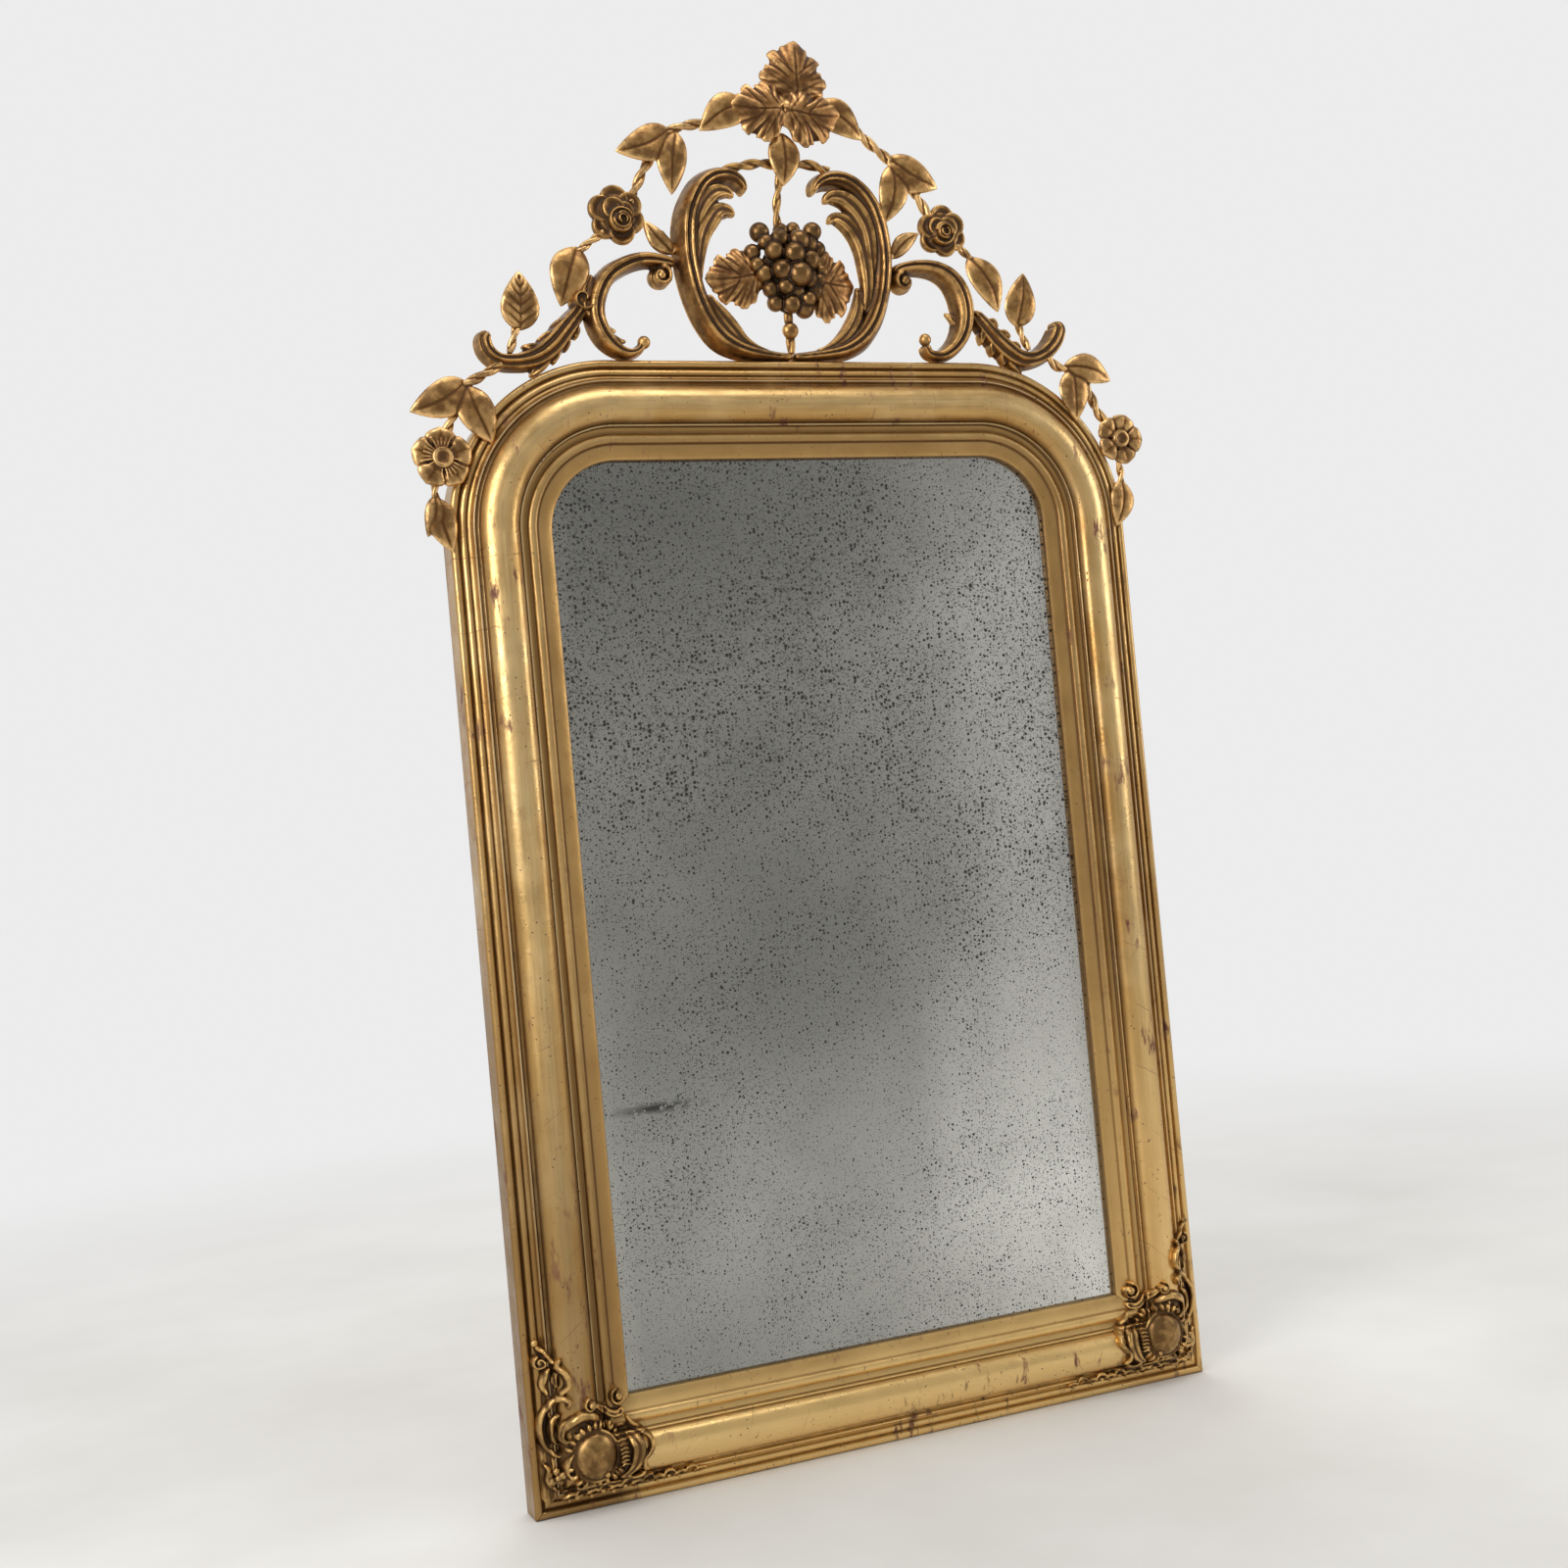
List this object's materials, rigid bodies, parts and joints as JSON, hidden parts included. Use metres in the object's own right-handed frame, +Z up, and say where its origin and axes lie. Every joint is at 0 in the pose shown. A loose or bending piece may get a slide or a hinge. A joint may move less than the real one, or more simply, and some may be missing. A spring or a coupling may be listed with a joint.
{
  "type": "wall mirror",
  "caption": "Tall arched wall mirror: gilt moulded frame with round shoulders, an open carved crest of scrolls, vine leaves, roses and grapes, and strapwork at the lower corners.",
  "frame": {"origin": "middle of the bottom rail's underside, on the centre line; the frame's back plane is 18 mm behind it", "axes": "+Z up along the mirror's height, +X to the viewer's right, -Y out of the front, +Y into the wall"},
  "size_m": [0.9193, 0.0813, 1.6383],
  "materials": {
    "frame_gilding": "worn water gilding over red bole on carved wood, laps and rubbed edges",
    "slip_gilding": "burnished water gilding, lightly rubbed",
    "carved_gilding": "dark toned gilding with bright edges on carved wood",
    "leaf_gilding": "toned gilding on carved leaves and stems",
    "silvered_glass": "old silvered glass, foxed and speckled",
    "backing_wood": "plain sawn pine, aged",
    "hanger_iron": "dull black iron"
  },
  "bodies": {
    "mirror": {"backboard_lower": "backing_wood", "backboard_middle": "backing_wood", "backboard_upper": "backing_wood", "c_scroll_left": "carved_gilding", "c_scroll_right": "carved_gilding", "cartouche_link": "carved_gilding", "cartouche_peg": "carved_gilding", "cartouche_scroll_left": "carved_gilding", "cartouche_scroll_right": "carved_gilding", "corner_ornament_left": "carved_gilding", "corner_ornament_right": "carved_gilding", "crown_back_leaf_left": "leaf_gilding", "crown_back_leaf_right": "leaf_gilding", "crown_leaf_hanging": "leaf_gilding", "crown_leaf_left": "leaf_gilding", "crown_leaf_right": "leaf_gilding", "crown_leaf_top": "leaf_gilding", "drop_leaf_left": "leaf_gilding", "drop_leaf_right": "leaf_gilding", "flower_left": "leaf_gilding", "flower_right": "leaf_gilding", "frame_bottom_rail": "frame_gilding", "frame_left_shoulder": "frame_gilding", "frame_left_stile": "frame_gilding", "frame_right_shoulder": "frame_gilding", "frame_right_stile": "frame_gilding", "frame_top_rail": "frame_gilding", "glass_block_bottom": "backing_wood", "glass_block_left": "backing_wood", "glass_block_right": "backing_wood", "glass_block_top": "backing_wood", "grape_bunch": "carved_gilding", "grape_leaf_left": "leaf_gilding", "grape_leaf_right": "leaf_gilding", "grape_stem": "carved_gilding", "hanger_strap_left": "hanger_iron", "hanger_strap_right": "hanger_iron", "leaf_below_rose_left": "leaf_gilding", "leaf_below_rose_right": "leaf_gilding", "leaf_beside_rose_left": "leaf_gilding", "leaf_beside_rose_right": "leaf_gilding", "lower_sprig_left": "leaf_gilding", "lower_sprig_right": "leaf_gilding", "mirror_glass": "silvered_glass", "rose_left": "carved_gilding", "rose_right": "carved_gilding", "s_scroll_left": "carved_gilding", "s_scroll_right": "carved_gilding", "slip_bottom": "slip_gilding", "slip_left": "slip_gilding", "slip_left_corner": "slip_gilding", "slip_right": "slip_gilding", "slip_right_corner": "slip_gilding", "slip_top": "slip_gilding", "upper_sprig_left": "leaf_gilding", "upper_sprig_right": "leaf_gilding", "upright_leaf_left": "leaf_gilding", "upright_leaf_right": "leaf_gilding"},
    "ring_left": {"hanger_ring_left": "hanger_iron"},
    "ring_right": {"hanger_ring_right": "hanger_iron"}
  },
  "joints": [
    {"name": "ring_left_hinge", "type": "hinge", "parent": "mirror", "child": "ring_left", "pos_m": [-0.39375, 0.0229, 0.985], "axis": [1, 0, 0], "range_deg": [0, 170]},
    {"name": "ring_right_hinge", "type": "hinge", "parent": "mirror", "child": "ring_right", "pos_m": [0.39375, 0.0229, 0.985], "axis": [1, 0, 0], "range_deg": [0, 170]}
  ]
}
